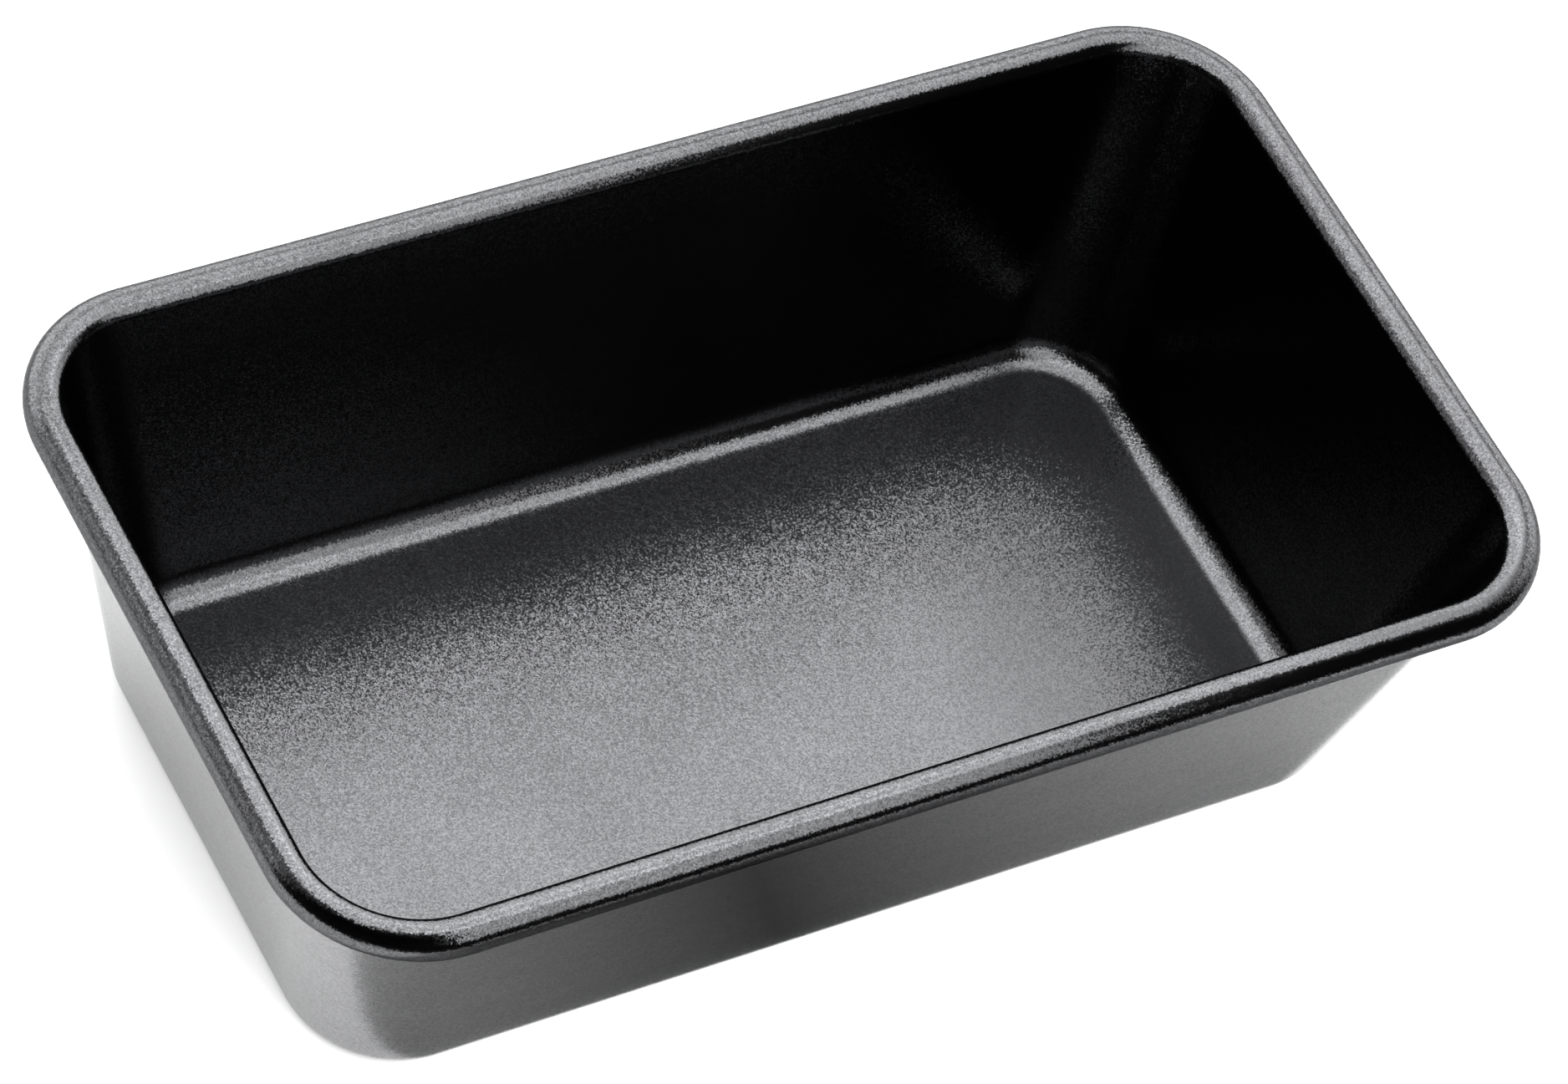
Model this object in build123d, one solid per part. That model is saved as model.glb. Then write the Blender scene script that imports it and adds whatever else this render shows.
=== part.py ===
from build123d import *
from math import acos, atan2, cos, degrees, hypot, radians, sin, sqrt, tan
import os

# Loaf pan, 23 x 13 x 7 cm (2 lb): a deep-drawn steel tray with a wired rim.
#
# The pan is stamped from sheet that was coated on both faces beforehand, so three layers follow one
# shape: the coating that faces the food, the steel, and the coating that faces the oven. Each layer
# runs across the floor, up the leaning walls, over the rim and round the curl to the sheet's cut
# edge. A steel wire lies inside the curl.
#
# Frame: millimetres, +Z up, the origin under the middle of the pan on the surface it stands on,
# X along the pan's length and Y across it.

# Driving dimensions.
OPENING_LENGTH = 230.0  # clear length inside the rim
OPENING_WIDTH = 130.0  # clear width inside the rim
OVERALL_HEIGHT = 70.0
BEAD_DIAMETER = 7.0  # the rolled rim, over its coating
BASE_LENGTH = 205.4  # outside, where the end walls would meet the floor in a sharp edge
BASE_WIDTH = 106.5  # outside, where the side walls would meet the floor in a sharp edge
CORNER_RADIUS = 20.0  # outside of the walls, the same from base to rim
FLOOR_RADIUS = 6.0  # inside, between floor and wall

# The coated sheet.
INNER_COAT = 0.06
STEEL = 0.8
OUTER_COAT = 0.06
SHEET = INNER_COAT + STEEL + OUTER_COAT

# The rim.
CURL_END = -140.0  # degrees; where the cut edge stops, under the rim and short of the wall
WIRE_CLEARANCE = 0.08  # between the wire and the curl, all round
WIRE_GAP = 0.6  # between the butted ends of the wire

# The wire's centre line, from the dimensions above.
BEAD_R = BEAD_DIAMETER / 2
BEAD_Z = OVERALL_HEIGHT - BEAD_R
RIM_X = OPENING_LENGTH / 2 + BEAD_R
RIM_Y = OPENING_WIDTH / 2 + BEAD_R
RIM_CORNER = CORNER_RADIUS - SHEET + BEAD_R
WIRE_R = BEAD_R - SHEET - WIRE_CLEARANCE


def lean(run):
    """Lean from vertical of a wall that rises from the base to run tangent into the rim.

    run is how far out of the base's sharp edge the wire's centre line lies.
    """
    return acos((BEAD_R - SHEET) / hypot(run, BEAD_Z)) - atan2(BEAD_Z, run)


END_LEAN = lean(RIM_X - BASE_LENGTH / 2)
SIDE_LEAN = lean(RIM_Y - BASE_WIDTH / 2)
JOIN_RISE = BEAD_R * sin((END_LEAN + SIDE_LEAN) / 2)  # of wall meeting rim, over the wire's centre


def outline(half_x, half_y, corner, z):
    """A rounded rectangle, level at height z."""
    return Plane.XY.offset(z) * RectangleRounded(2 * half_x, 2 * half_y, corner)


def reach(depth):
    """From the wire's centre line in to the surface that lies depth into the sheet."""
    return sqrt((BEAD_R - depth) ** 2 - JOIN_RISE**2)


def tub(depth):
    """Everything inside the surface that lies depth into the sheet, counted from the food side.

    It stands from the floor to the height where the walls meet the rim.
    """
    level = SHEET - depth  # height of this surface across the floor
    end_shift, side_shift = (level / cos(a) - level * tan(a) for a in (END_LEAN, SIDE_LEAN))
    base = outline(
        BASE_LENGTH / 2 - end_shift,
        BASE_WIDTH / 2 - side_shift,
        CORNER_RADIUS - side_shift,
        level,
    )
    top = outline(
        RIM_X - reach(depth),
        RIM_Y - reach(depth),
        RIM_CORNER - reach(depth),
        BEAD_Z + JOIN_RISE,
    )
    block = loft([base, top], ruled=True)
    foot = block.edges().group_by(Axis.Z)[0]
    return fillet(foot, FLOOR_RADIUS + depth)


def curl_profile(near, far):
    """Cross-section of the curl between two depths into the sheet.

    The wire's centre is at the sketch's origin, and the middle of the pan is towards -X.
    """
    outer, inner = BEAD_R - near, BEAD_R - far
    start_outer = (-reach(near), JOIN_RISE)
    start_inner = (-reach(far), JOIN_RISE)
    end = radians(CURL_END)
    end_outer = (outer * cos(end), outer * sin(end))
    end_inner = (inner * cos(end), inner * sin(end))
    return make_face(
        [
            ThreePointArc(start_outer, (outer, 0), end_outer),
            Line(end_outer, end_inner),
            ThreePointArc(end_inner, (inner, 0), start_inner),
            Line(start_inner, start_outer),
        ]
    )


def around_rim(profile):
    """Carries a profile round the rim, along its straight sides and round its corners."""
    straight_x = RIM_X - RIM_CORNER
    straight_y = RIM_Y - RIM_CORNER
    pieces = []
    for turn, side, straight in (
        (0, RIM_X, straight_y),
        (90, RIM_Y, straight_x),
        (180, RIM_X, straight_y),
        (270, RIM_Y, straight_x),
    ):
        start = Plane(origin=(side, -straight, BEAD_Z), x_dir=(1, 0, 0), z_dir=(0, -1, 0))
        stop = Plane(origin=(side, straight, BEAD_Z), x_dir=(1, 0, 0), z_dir=(0, -1, 0))
        run = extrude(start * profile, -2 * straight)
        bend = revolve(stop * profile, Axis((side - RIM_CORNER, straight, 0), (0, 0, 1)), 90)
        pieces += [Rot(0, 0, turn) * run, Rot(0, 0, turn) * bend]
    return pieces[0].fuse(*pieces[1:])


def layer(near, far):
    """One layer of the coated sheet, between two depths from its food side."""
    return tub(far) - tub(near) + around_rim(curl_profile(near, far))


def rim_wire():
    """The stiffening wire: one length bent round the rim, its ends butted midway along a side."""
    straight_x = RIM_X - RIM_CORNER
    straight_y = RIM_Y - RIM_CORNER
    centre_line = [Line((WIRE_GAP / 2, RIM_Y), (straight_x, RIM_Y))]
    for length, turn in ((straight_y, -90), (straight_x, -180), (straight_y, -270), (straight_x, 0)):
        corner = JernArc(centre_line[-1] @ 1, centre_line[-1] % 1, RIM_CORNER, -90)
        full = 2 * length if turn else length - WIRE_GAP / 2
        centre_line += [corner, Line(corner @ 1, corner @ 1 + (corner % 1) * full)]
    path = Pos(0, 0, BEAD_Z) * Wire(centre_line)
    return sweep(Plane(origin=path @ 0, z_dir=path % 0) * Circle(WIRE_R), path=path)


PARTS = {
    "interior_nonstick_coating": layer(0, INNER_COAT),
    "steel_pan_body": layer(INNER_COAT, INNER_COAT + STEEL),
    "exterior_nonstick_coating": layer(INNER_COAT + STEEL, SHEET),
    "rim_wire": rim_wire(),
}

os.makedirs("parts", exist_ok=True)
for name, shape in PARTS.items():
    export_step(shape, f"parts/{name}.step")
    print(name, "volume", round(shape.volume, 1), "solids", len(shape.solids()))
print("lean of ends", round(degrees(END_LEAN), 2), "lean of sides", round(degrees(SIDE_LEAN), 2))
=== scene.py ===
from math import atan2, cos, hypot, pi, radians, sin, tan

import bpy
import numpy as np
from mathutils import Euler, Matrix, Vector


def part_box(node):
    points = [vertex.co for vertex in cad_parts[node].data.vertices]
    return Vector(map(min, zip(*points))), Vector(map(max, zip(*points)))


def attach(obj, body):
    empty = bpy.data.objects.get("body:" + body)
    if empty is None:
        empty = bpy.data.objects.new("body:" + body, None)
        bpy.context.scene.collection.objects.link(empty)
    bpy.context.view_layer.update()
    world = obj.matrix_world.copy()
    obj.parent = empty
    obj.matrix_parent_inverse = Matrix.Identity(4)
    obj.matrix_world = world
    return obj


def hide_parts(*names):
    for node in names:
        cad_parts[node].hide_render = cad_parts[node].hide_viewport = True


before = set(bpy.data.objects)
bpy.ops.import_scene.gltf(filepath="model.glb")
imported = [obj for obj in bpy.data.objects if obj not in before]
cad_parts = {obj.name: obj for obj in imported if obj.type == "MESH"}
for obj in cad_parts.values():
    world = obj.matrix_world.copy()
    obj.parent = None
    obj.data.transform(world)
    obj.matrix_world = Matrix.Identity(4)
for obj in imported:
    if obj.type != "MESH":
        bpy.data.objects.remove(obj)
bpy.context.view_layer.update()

# Shape of the coated sheet, in metres, as in the CAD. Overall sizes are read from the CAD nodes.
COAT = 0.00006
STEEL = 0.0008
SHEET = STEEL + 2 * COAT
BEAD_R = 0.0035
WIRE_CLEARANCE = 0.00008
WIRE_R = BEAD_R - SHEET - WIRE_CLEARANCE
WIRE_GAP = 0.0006
BASE_HALF = (0.1027, 0.05325)
CORNER_R = 0.020
FLOOR_R = 0.006
CURL_END = radians(-140)
SLOPE_PASSES = 4  # rounds of fitting the wall's slope to the rim bead

low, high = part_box("interior_nonstick_coating")
RIM_HALF = (high.x - BEAD_R, high.y - BEAD_R)
BEAD_Z = high.z - BEAD_R
RIM_CORNER = CORNER_R - SHEET + BEAD_R

# Mesh density.
CORNER_STEPS = 32
END_STEPS = 20
SIDE_STEPS = 40
FLOOR_SCALES = (0.1, 0.3, 0.55, 0.8, 0.95)
FILLET_STEPS = 14
WALL_STEPS = 16
CURL_STEPS = 48
WIRE_STEPS = 24

# Coatings. Lengths in metres, brightness as the share of light reflected, contrast as the share by
# which single flecks differ from it, tilt as how far a fleck leans off the surface.
INTERIOR_COATING = {
    "fleck_size": 0.00026,
    "brightness": 0.07,
    "contrast": 0.4,
    "roughness": 0.16,
    "tilt": 0.12,
    "edge": 0.5,
}
EXTERIOR_COATING = {
    "fleck_size": 0.0003,
    "brightness": 0.13,
    "contrast": 0.32,
    "roughness": 0.24,
    "tilt": 0.05,
    "scuffed_to": 0.0012,
}
COATING_TINT = (0.985, 0.995, 1.03)
CLOUD_SCALE = 40.0  # per metre, as are all noise scales
CLOUD_DETAIL = 3.0
CLOUD_RANGE = (0.93, 1.07)
BAND_RISE = 5.0
GLOSS_RANGE = (0.94, 1.06)
SCUFF_SCALE = 900.0
SCUFF_DETAIL = 4.0
SCUFF_PATCHES = (0.45, 0.65)
SCUFF_BRIGHTER = 1.5
SCUFF_ROUGHER = 0.15

# Bare metal: brightness and roughness.
SHEET_STEEL = (0.5, 0.38)
WIRE_STEEL = (0.45, 0.42)
MILL_GRAIN_SCALE = 900.0
MILL_GRAIN_DETAIL = 4.0
MILL_GRAIN_DEPTH = 0.00002
MILL_GRAIN_RANGE = (0.85, 1.1)
MILL_GLOSS_SCALE = 400.0
MILL_GLOSS_RANGE = (0.8, 1.2)

# Studio floor, and two cards on it that only reflections show, both painted shade: a near-black one
# stands in for the dark room on the camera's side, a graded one for the floor's shadow beside the pan.
FLOOR_RANGE = (-3, 3)
FLOOR_BRIGHTNESS = 0.86
PAPER_SCALE = 8.0
PAPER_RANGE = (0.99, 1.0)
PAPER_ROUGHNESS = 0.9
PAPER_GLOSS = 0.2
CARD_HEIGHT = 0.0005  # above the floor
# Painted shade: beyond this line reflections see the floor as near black, for the dark room on the
# camera's side.
DARK_ROOM_Y = -0.35
DARK_ROOM_BRIGHTNESS = 0.02
# Painted shadow: a graded card that only reflections show, darkest at its middle, stands in for the
# floor's shadow beside the near wall.
PAINTED_SHADOW_X = (-0.13, 0.15)
PAINTED_SHADOW_Y = (-0.3, -0.054)
PAINTED_SHADOW_MIDDLE = -0.015
PAINTED_SHADOW_SHADES = (0.05, 0.4)  # at the middle and at the ends
PAINTED_SHADOW_FADE = 0.12

# Lights. Each panel: name, centre, tilt in degrees from facing down, width, depth, radiance.
PANELS = (
    ("ceiling_softbox", (0.05, 0.07, 0.3), 0, 0.4, 0.28, 4.0),
    ("back_softbox", (-0.05, 0.96, 1.15), -40, 1.1, 0.5, 1.5),
    ("front_softbox", (0.02, -0.135, 0.21), 35, 0.16, 0.25, 3.4),
)
FLOOR_FILL = ("floor_fill", (-0.3, -0.9, 1.2), 37, 1.5, 1.5, 8.5)  # lights the floor, not the pan
BACKDROP_DIRECTION = (0.34, 0.936, 0.09)
BACKDROP_EDGE = (-0.1, 0.8)  # cosine from that direction, from dark to fully lit
BACKDROP_GLOW = (0.02, 5.2)  # radiance, where dark and where fully lit
BACKDROP_TOP = (0.5, 0.75)  # sine of elevation, from full to the upper share
UPPER_SHARE = 0.3

# Camera: the photograph's viewing angle.
CAMERA_AIM = Vector((0.00756, 0.00542, 0.035))
CAMERA_AZIMUTH = radians(40.770)  # of the line of sight, from +Y towards +X
CAMERA_ELEVATION = radians(50.663)
CAMERA_ROLL = radians(17.244)
CAMERA_DISTANCE = 1.2823
CAMERA_LENS = 167.79  # millimetres, as is the sensor
CAMERA_SENSOR = 36.0
CAMERA_CLIP = (0.05, 20.0)


# ---------------------------------------------------------------- shape

def perimeter():
    """Samples round a rounded rectangle: for each, the plan signs of its corner and its normal.

    A ring of half sizes h and corner radius r is then signs * (h - r) + normals * r.
    """
    signs, normals = [], []
    corners = ((1, 1, 0), (-1, 1, 90), (-1, -1, 180), (1, -1, 270))
    steps = (END_STEPS, SIDE_STEPS, END_STEPS, SIDE_STEPS)
    for (sx, sy, start), count in zip(corners, steps):
        facing = (round(cos(radians(start))), round(sin(radians(start))))
        for i in range(count):
            along = -1 + 2 * i / count
            if start in (0, 180):
                signs.append((sx, sy * along))
            else:
                signs.append((sx * along, sy))
            normals.append(facing)
        for i in range(CORNER_STEPS):
            turn = radians(start + 90 * i / CORNER_STEPS)
            signs.append((sx, sy))
            normals.append((cos(turn), sin(turn)))
    return np.array(signs, float), np.array(normals, float)


SIGNS, NORMALS = perimeter()
TANGENTS = np.stack([-NORMALS[:, 1], NORMALS[:, 0]], 1)


def ring(half_x, half_y, corner):
    """Plan points of a rounded rectangle, one for each perimeter sample."""
    return SIGNS * (half_x - corner, half_y - corner) + NORMALS * corner


def lean(run):
    """Lean of a wall from vertical, as the CAD works it out."""
    reach = BEAD_R - SHEET
    return np.arccos(reach / hypot(run, BEAD_Z)) - atan2(BEAD_Z, run)


def food_surface():
    """The food side of the sheet, from the middle of the floor to the cut edge under the rim.

    Returns rows of points and, for each, the unit direction through the sheet, away from the food.
    """
    leans = [lean(rim - base) for rim, base in zip(RIM_HALF, BASE_HALF)]
    shift = [SHEET / cos(a) - SHEET * tan(a) for a in leans]
    base = ring(BASE_HALF[0] - shift[0], BASE_HALF[1] - shift[1], CORNER_R - shift[1])
    axis = ring(*RIM_HALF, RIM_CORNER)

    slope = np.full(len(base), leans[0])
    for _ in range(SLOPE_PASSES):
        top = axis - NORMALS * (BEAD_R * np.cos(slope))[:, None]
        rise = BEAD_Z + BEAD_R * np.sin(slope) - SHEET
        slope = np.arctan2(((top - base) * NORMALS).sum(1), rise)
    drift = ((top - base) * TANGENTS).sum(1) / rise

    points, through = [], []

    def add(plan, height, outward, upward):
        points.append(np.column_stack([plan, height + np.zeros(len(base))]))
        direction = np.column_stack([NORMALS * (outward + np.zeros(len(base)))[:, None],
                                     upward + np.zeros(len(base))])
        through.append(direction)

    foot = FLOOR_R * (1 - np.sin(slope)) / np.cos(slope)
    floor_edge = base - NORMALS * foot[:, None]
    for scale in FLOOR_SCALES:
        add(floor_edge * scale, SHEET, 0, -1)
    for i in range(FILLET_STEPS):
        bend = -pi / 2 + (pi / 2 - slope) * i / FILLET_STEPS
        climb = FLOOR_R * (1 + np.sin(bend))
        outward = FLOOR_R * np.cos(bend) - foot
        plan = base + NORMALS * outward[:, None] + TANGENTS * (climb * drift)[:, None]
        add(plan, SHEET + climb, np.cos(bend), np.sin(bend))
    start = FLOOR_R * (1 - np.sin(slope)) / rise
    for i in range(WALL_STEPS):
        share = start + (1 - start) * i / WALL_STEPS
        plan = base + (top - base) * share[:, None]
        add(plan, SHEET + rise * share, np.cos(slope), -np.sin(slope))
    for i in range(CURL_STEPS + 1):
        turn = (pi - slope) + (CURL_END - pi + slope) * i / CURL_STEPS
        plan = axis + NORMALS * (BEAD_R * np.cos(turn))[:, None]
        add(plan, BEAD_Z + BEAD_R * np.sin(turn), -np.cos(turn), -np.sin(turn))
    return np.array(points), np.array(through)


def make_mesh(name, vertices, faces, flat_faces=()):
    """A mesh object at the origin, smooth but for the faces named flat."""
    mesh = bpy.data.meshes.new(name)
    mesh.from_pydata([tuple(v) for v in vertices], [], faces)
    mesh.update()
    smooth = np.ones(len(faces), bool)
    smooth[list(flat_faces)] = False
    mesh.polygons.foreach_set("use_smooth", smooth)
    piece = bpy.data.objects.new(name, mesh)
    bpy.context.scene.collection.objects.link(piece)
    return piece


def sheet_layer(name, near, far):
    """One layer of the sheet, between two depths from its food side, as a closed mesh."""
    surface, through = food_surface()
    rows, around = surface.shape[:2]
    skins = [surface + through * near, surface + through * far]
    vertices = np.concatenate([skin.reshape(-1, 3) for skin in skins])
    total = rows * around
    centres = [(0, 0, SHEET - near), (0, 0, SHEET - far)]
    vertices = np.concatenate([vertices, centres])

    faces = []
    for side in (0, 1):
        offset = side * total
        hub = 2 * total + side
        for j in range(around):
            k = (j + 1) % around
            cap = (hub, offset + j, offset + k)
            faces.append(cap if side == 0 else cap[::-1])
            for i in range(rows - 1):
                a, b = offset + i * around, offset + (i + 1) * around
                quad = (a + j, b + j, b + k, a + k)
                faces.append(quad if side == 0 else quad[::-1])
    first_edge_face = len(faces)
    last = (rows - 1) * around
    for j in range(around):
        k = (j + 1) % around
        faces.append((last + j, total + last + j, total + last + k, last + k))
    return make_mesh(name, vertices, faces, range(first_edge_face, len(faces)))


def wire():
    """The wire in the curl: bent round the rim, with its ends butted midway along a long side."""
    line = ring(*RIM_HALF, RIM_CORNER)
    begin = int(np.argmin(np.hypot(line[:, 0], line[:, 1] - RIM_HALF[1])))
    order = np.roll(np.arange(len(line)), -begin)
    plan, normals = line[order], NORMALS[order]
    plan = np.vstack([plan, plan[:1]])
    normals = np.vstack([normals, normals[:1]])
    plan[0, 0] -= WIRE_GAP / 2
    plan[-1, 0] += WIRE_GAP / 2

    vertices, faces = [], []
    turns = [2 * pi * i / WIRE_STEPS for i in range(WIRE_STEPS)]
    for (x, y), (nx, ny) in zip(plan, normals):
        for turn in turns:
            out = WIRE_R * cos(turn)
            vertices.append((x + nx * out, y + ny * out, BEAD_Z + WIRE_R * sin(turn)))
    for i in range(len(plan) - 1):
        for j in range(WIRE_STEPS):
            k = (j + 1) % WIRE_STEPS
            a, b = i * WIRE_STEPS, (i + 1) * WIRE_STEPS
            faces.append((a + j, a + k, b + k, b + j))
    ends = len(faces)
    last = (len(plan) - 1) * WIRE_STEPS
    faces.append(tuple(range(WIRE_STEPS))[::-1])
    faces.append(tuple(last + j for j in range(WIRE_STEPS)))
    return make_mesh("rim_wire_round", vertices, faces, (ends, ends + 1))


# ---------------------------------------------------------------- materials

class Nodes:
    """Short calls for building a material's node tree."""

    def __init__(self, name):
        self.material = bpy.data.materials.new(name)
        self.material.use_nodes = True
        self.tree = self.material.node_tree
        self.shader = self.tree.nodes["Principled BSDF"]

    def add(self, kind, **values):
        node = self.tree.nodes.new(kind)
        for key, value in values.items():
            setattr(node, key, value)
        return node

    def put(self, node, socket, value):
        if hasattr(value, "is_output"):
            self.tree.links.new(value, node.inputs[socket])
        else:
            node.inputs[socket].default_value = value

    def place(self):
        return self.add("ShaderNodeTexCoord").outputs["Object"]

    def coordinate(self, axis):
        """One of the place's coordinates, by its letter."""
        split = self.add("ShaderNodeSeparateXYZ")
        self.put(split, "Vector", self.place())
        return split.outputs[axis]

    def noise(self, scale, detail=2.0, rise=1.0):
        """Soft noise; a rise above 1 flattens it into level bands on the walls."""
        node = self.add("ShaderNodeTexNoise")
        stretched = self.add("ShaderNodeVectorMath", operation="MULTIPLY")
        self.put(stretched, 0, self.place())
        self.put(stretched, 1, (1.0, 1.0, rise))
        self.put(node, "Vector", stretched.outputs["Vector"])
        self.put(node, "Scale", scale)
        self.put(node, "Detail", detail)
        return node.outputs["Fac"]

    def cells(self, scale):
        """Small cells, each of one random colour."""
        node = self.add("ShaderNodeTexVoronoi")
        self.put(node, "Vector", self.place())
        self.put(node, "Scale", scale)
        return node.outputs["Color"]

    def spread(self, value, to_low, to_high, from_low=0.3, from_high=0.7):
        """Maps a value onto a range, by default from the range that noise mostly stays in."""
        node = self.add("ShaderNodeMapRange")
        self.put(node, "Value", value)
        self.put(node, "From Min", from_low)
        self.put(node, "From Max", from_high)
        self.put(node, "To Min", to_low)
        self.put(node, "To Max", to_high)
        return node.outputs["Result"]

    def math(self, operation, a, b):
        node = self.add("ShaderNodeMath", operation=operation)
        self.put(node, 0, a)
        self.put(node, 1, b)
        return node.outputs["Value"]

    def grey(self, value, tint=(1.0, 1.0, 1.0)):
        node = self.add("ShaderNodeCombineColor")
        for channel, weight in zip(("Red", "Green", "Blue"), tint):
            self.put(node, channel, self.math("MULTIPLY", value, weight))
        return node.outputs["Color"]

    def tilted_normal(self, cells, amount):
        """The surface normal, tilted a little at random from flake to flake."""
        centre = self.add("ShaderNodeVectorMath", operation="SUBTRACT")
        self.put(centre, 0, cells)
        self.put(centre, 1, (0.5, 0.5, 0.5))
        offset = self.add("ShaderNodeVectorMath", operation="SCALE")
        self.put(offset, 0, centre.outputs["Vector"])
        self.put(offset, "Scale", amount)
        geometry = self.add("ShaderNodeNewGeometry")
        total = self.add("ShaderNodeVectorMath", operation="ADD")
        self.put(total, 0, geometry.outputs["Normal"])
        self.put(total, 1, offset.outputs["Vector"])
        unit = self.add("ShaderNodeVectorMath", operation="NORMALIZE")
        self.put(unit, 0, total.outputs["Vector"])
        return unit.outputs["Vector"]

    def bump(self, height, distance):
        node = self.add("ShaderNodeBump")
        self.put(node, "Height", height)
        self.put(node, "Distance", distance)
        return node.outputs["Normal"]


def scaled(pair, factor):
    """Both numbers of a range times a factor."""
    return [number * factor for number in pair]


def fleck_coating(name, fleck_size, brightness, contrast, roughness, tilt, edge=1.0, scuffed_to=0.0):
    """Dark non-stick film with metallic flecks lying nearly flat in it.

    edge is the tint of a grazing reflection, 1 for a full one. scuffed_to is the height that shelf
    wear reaches up from the pan's standing edge.
    """
    n = Nodes(name)
    cells = n.cells(1 / fleck_size)
    separate = n.add("ShaderNodeSeparateColor")
    n.put(separate, "Color", cells)
    flecks = scaled((1 - contrast, 1 + contrast), brightness)
    value = n.spread(separate.outputs["Red"], *flecks, 0.0, 1.0)
    cloud = n.noise(CLOUD_SCALE, CLOUD_DETAIL, BAND_RISE)
    value = n.math("MULTIPLY", value, n.spread(cloud, *CLOUD_RANGE))
    rough = n.spread(n.noise(CLOUD_SCALE / 2), *scaled(GLOSS_RANGE, roughness))
    if scuffed_to:
        low_down = n.spread(n.coordinate("Z"), 1.0, 0.0, 0.0, scuffed_to)
        patchy = n.spread(n.noise(SCUFF_SCALE, SCUFF_DETAIL), 0.0, 1.0, *SCUFF_PATCHES)
        scuff = n.math("MULTIPLY", low_down, patchy)
        value = n.math("MULTIPLY", value, n.spread(scuff, 1.0, SCUFF_BRIGHTER, 0.0, 1.0))
        rough = n.math("ADD", rough, n.spread(scuff, 0.0, SCUFF_ROUGHER, 0.0, 1.0))
    n.put(n.shader, "Base Color", n.grey(value, COATING_TINT))
    n.put(n.shader, "Metallic", 1.0)
    n.put(n.shader, "Specular Tint", (edge, edge, edge, 1.0))
    n.put(n.shader, "Roughness", rough)
    n.put(n.shader, "Normal", n.tilted_normal(cells, tilt))
    return n.material


def steel(name, brightness, roughness):
    """Bare mill-finish steel with a fine grain."""
    n = Nodes(name)
    grain = n.noise(MILL_GRAIN_SCALE, MILL_GRAIN_DETAIL)
    gloss = n.noise(MILL_GLOSS_SCALE)
    n.put(n.shader, "Base Color", n.grey(n.spread(grain, *scaled(MILL_GRAIN_RANGE, brightness))))
    n.put(n.shader, "Metallic", 1.0)
    n.put(n.shader, "Roughness", n.spread(gloss, *scaled(MILL_GLOSS_RANGE, roughness)))
    n.put(n.shader, "Normal", n.bump(grain, MILL_GRAIN_DEPTH))
    return n.material


def matte(n, value):
    """Makes a material matte paper of a given grey."""
    n.put(n.shader, "Base Color", n.grey(value))
    n.put(n.shader, "Roughness", PAPER_ROUGHNESS)
    n.put(n.shader, "Specular IOR Level", PAPER_GLOSS)
    return n.material


def paper(name, brightness):
    """Plain studio paper; at near-black brightness it also makes the card that paints the dark room's
    shade into reflections.
    """
    n = Nodes(name)
    return matte(n, n.spread(n.noise(PAPER_SCALE), *scaled(PAPER_RANGE, brightness)))


def painted_shadow_paper(name):
    """Painted shadow: dark paper that only reflections show, fading lighter towards both ends, standing
    in for the floor's shadow beside the pan's near wall.
    """
    n = Nodes(name)
    away = n.math("ABSOLUTE", n.math("SUBTRACT", n.coordinate("X"), PAINTED_SHADOW_MIDDLE), 0.0)
    return matte(n, n.spread(away, *PAINTED_SHADOW_SHADES, 0.0, PAINTED_SHADOW_FADE))


# ---------------------------------------------------------------- the pan

def finish_piece(piece, node, material):
    """Gives a piece its material, hides the CAD node that it stands for and attaches the piece to the
    root body.
    """
    piece.data.materials.append(material)
    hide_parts(node)
    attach(piece, "root")


interior = sheet_layer("interior_coating_skin", 0, COAT)
finish_piece(interior, "interior_nonstick_coating",
             fleck_coating("interior coating", **INTERIOR_COATING))

body = sheet_layer("steel_sheet", COAT, COAT + STEEL)
finish_piece(body, "steel_pan_body", steel("bare steel", *SHEET_STEEL))

exterior = sheet_layer("exterior_coating_skin", COAT + STEEL, SHEET)
finish_piece(exterior, "exterior_nonstick_coating",
             fleck_coating("exterior coating", **EXTERIOR_COATING))

rim_wire = wire()
finish_piece(rim_wire, "rim_wire", steel("wire steel", *WIRE_STEEL))


# ---------------------------------------------------------------- studio

def flat_sheet(name, x_range, y_range, height, material):
    """A level rectangle of the studio."""
    (x0, x1), (y0, y1) = x_range, y_range
    corners = [(x, y, height) for x, y in ((x0, y0), (x1, y0), (x1, y1), (x0, y1))]
    sheet = make_mesh(name, corners, [(0, 1, 2, 3)])
    sheet.data.materials.append(material)
    return sheet


def painted_shade_card(name, x_range, y_range, material):
    """Painted shade: a card lying on the studio floor, which only reflections show, its colour standing
    in for shade there.
    """
    card = flat_sheet(name, x_range, y_range, CARD_HEIGHT, material)
    card.visible_camera = False
    card.visible_diffuse = False
    card.visible_shadow = False


def soft_panel(name, centre, tilt, width, depth, radiance):
    """A softbox over the pan, its width along X, tilted about that direction."""
    light = bpy.data.lights.new(name, "AREA")
    light.shape = "RECTANGLE"
    light.size = width
    light.size_y = depth
    light.energy = radiance * pi * width * depth
    lamp = bpy.data.objects.new(name, light)
    lamp.visible_camera = False
    bpy.context.scene.collection.objects.link(lamp)
    lamp.location = centre
    lamp.rotation_euler = (radians(tilt), 0, 0)
    return lamp


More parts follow.
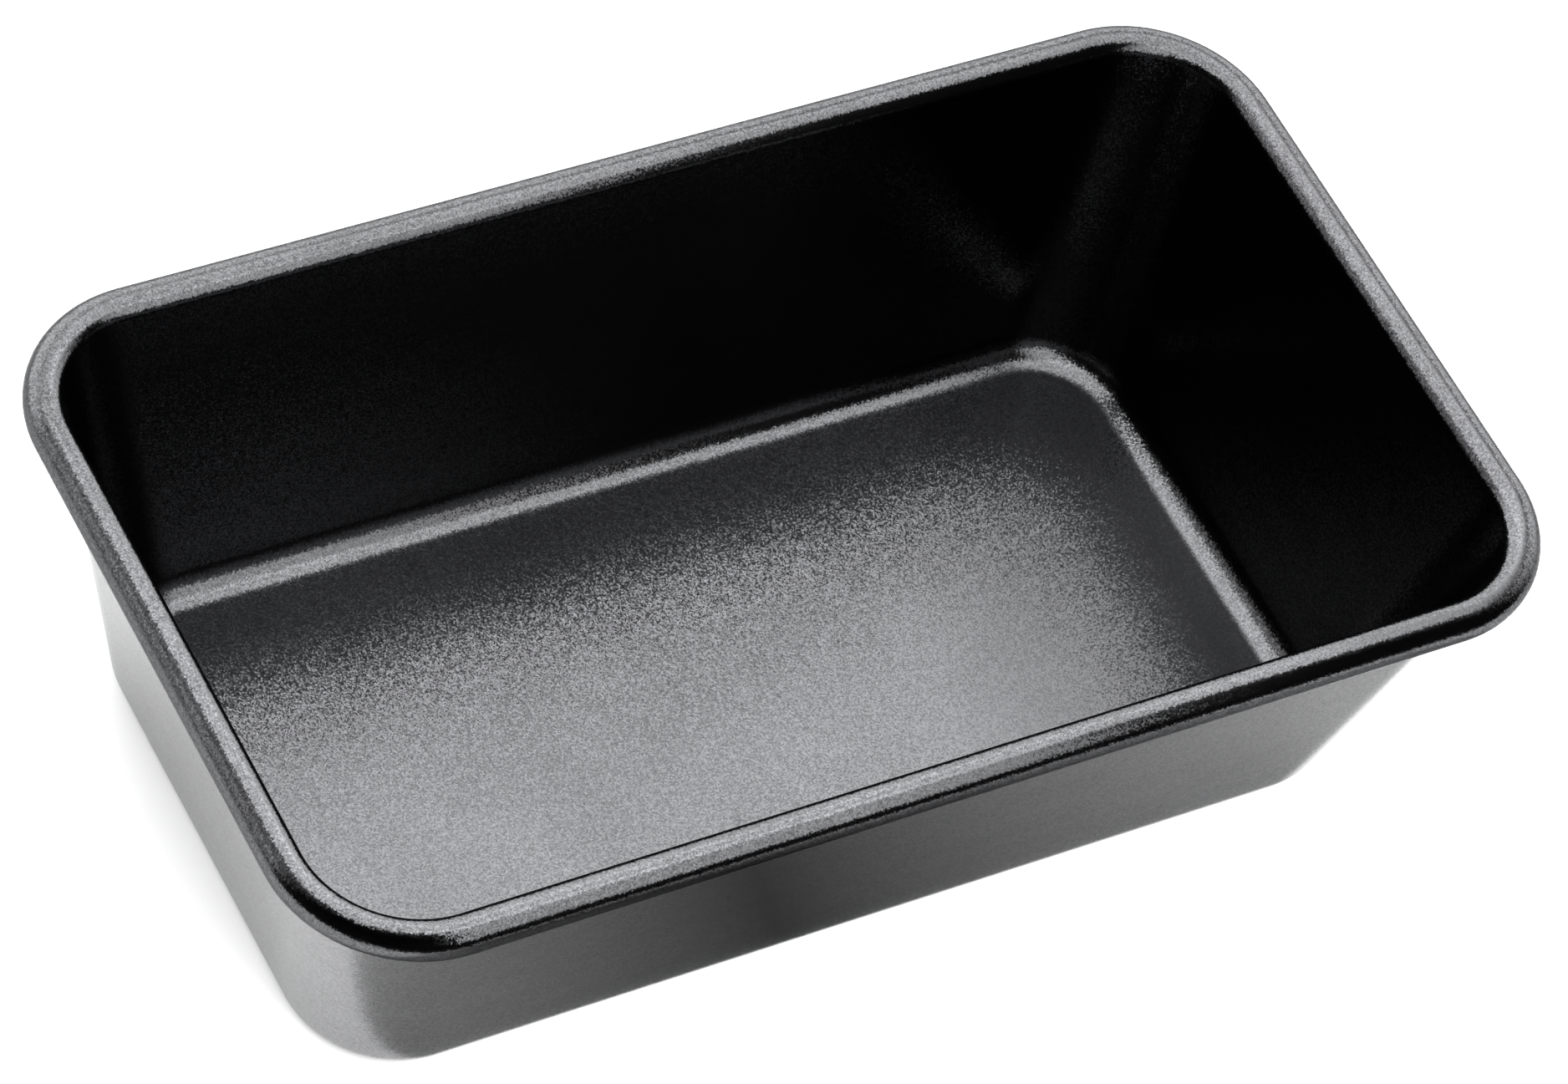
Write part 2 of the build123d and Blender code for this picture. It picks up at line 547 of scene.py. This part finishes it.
def white_surround():
    """A white backdrop behind the pan, dimmer above it, in a room that is dark on the camera's side."""
    world = bpy.data.worlds.new("studio")
    world.use_nodes = True
    tree = world.node_tree
    place = tree.nodes.new("ShaderNodeTexCoord")
    behind = tree.nodes.new("ShaderNodeVectorMath")
    behind.operation = "DOT_PRODUCT"
    behind.inputs[1].default_value = BACKDROP_DIRECTION
    tree.links.new(place.outputs["Generated"], behind.inputs[0])
    split = tree.nodes.new("ShaderNodeSeparateXYZ")
    tree.links.new(place.outputs["Generated"], split.inputs["Vector"])

    def fade(value, from_range, to_range):
        node = tree.nodes.new("ShaderNodeMapRange")
        node.interpolation_type = "SMOOTHSTEP"
        tree.links.new(value, node.inputs["Value"])
        for name, number in zip(("From Min", "From Max", "To Min", "To Max"), from_range + to_range):
            node.inputs[name].default_value = number
        return node.outputs["Result"]

    glow = tree.nodes.new("ShaderNodeMath")
    glow.operation = "MULTIPLY"
    tree.links.new(fade(behind.outputs["Value"], BACKDROP_EDGE, BACKDROP_GLOW), glow.inputs[0])
    tree.links.new(fade(split.outputs["Z"], BACKDROP_TOP, (1.0, UPPER_SHARE)), glow.inputs[1])
    background = tree.nodes["Background"]
    background.inputs["Color"].default_value = (1, 1, 1, 1)
    tree.links.new(glow.outputs["Value"], background.inputs["Strength"])
    bpy.context.scene.world = world


def camera():
    """The camera, on a line of sight through its aim, turned about that line."""
    data = bpy.data.cameras.new("camera")
    data.lens = CAMERA_LENS
    data.sensor_width = CAMERA_SENSOR
    data.sensor_fit = "HORIZONTAL"
    data.clip_start, data.clip_end = CAMERA_CLIP
    eye = bpy.data.objects.new("camera", data)
    bpy.context.scene.collection.objects.link(eye)
    sight = Vector((
        sin(CAMERA_AZIMUTH) * cos(CAMERA_ELEVATION),
        cos(CAMERA_AZIMUTH) * cos(CAMERA_ELEVATION),
        -sin(CAMERA_ELEVATION),
    ))
    level = sight.to_track_quat("-Z", "Y").to_matrix()
    turned = level @ Euler((0, 0, CAMERA_ROLL)).to_matrix()
    eye.matrix_world = Matrix.Translation(CAMERA_AIM - sight * CAMERA_DISTANCE) @ turned.to_4x4()
    bpy.context.scene.camera = eye


flat_sheet("studio_floor", FLOOR_RANGE, FLOOR_RANGE, 0, paper("studio floor", FLOOR_BRIGHTNESS))
# Painted shade: a near-black card in front of the pan that reflections see instead of the pale floor,
# standing in for the dark room on the camera's side.
painted_shade_card("dark_room", FLOOR_RANGE, (FLOOR_RANGE[0], DARK_ROOM_Y),
               paper("dark room", DARK_ROOM_BRIGHTNESS))
# Painted shadow: the floor's shadow beside the near wall, as the pan's reflections see it.
painted_shade_card("painted_floor_shadow", PAINTED_SHADOW_X, PAINTED_SHADOW_Y, painted_shadow_paper("painted floor shadow"))
white_surround()
for panel in PANELS:
    soft_panel(*panel)
fill = soft_panel(*FLOOR_FILL)
fill.visible_glossy = False
bpy.context.scene.view_settings.view_transform = "Standard"
camera()
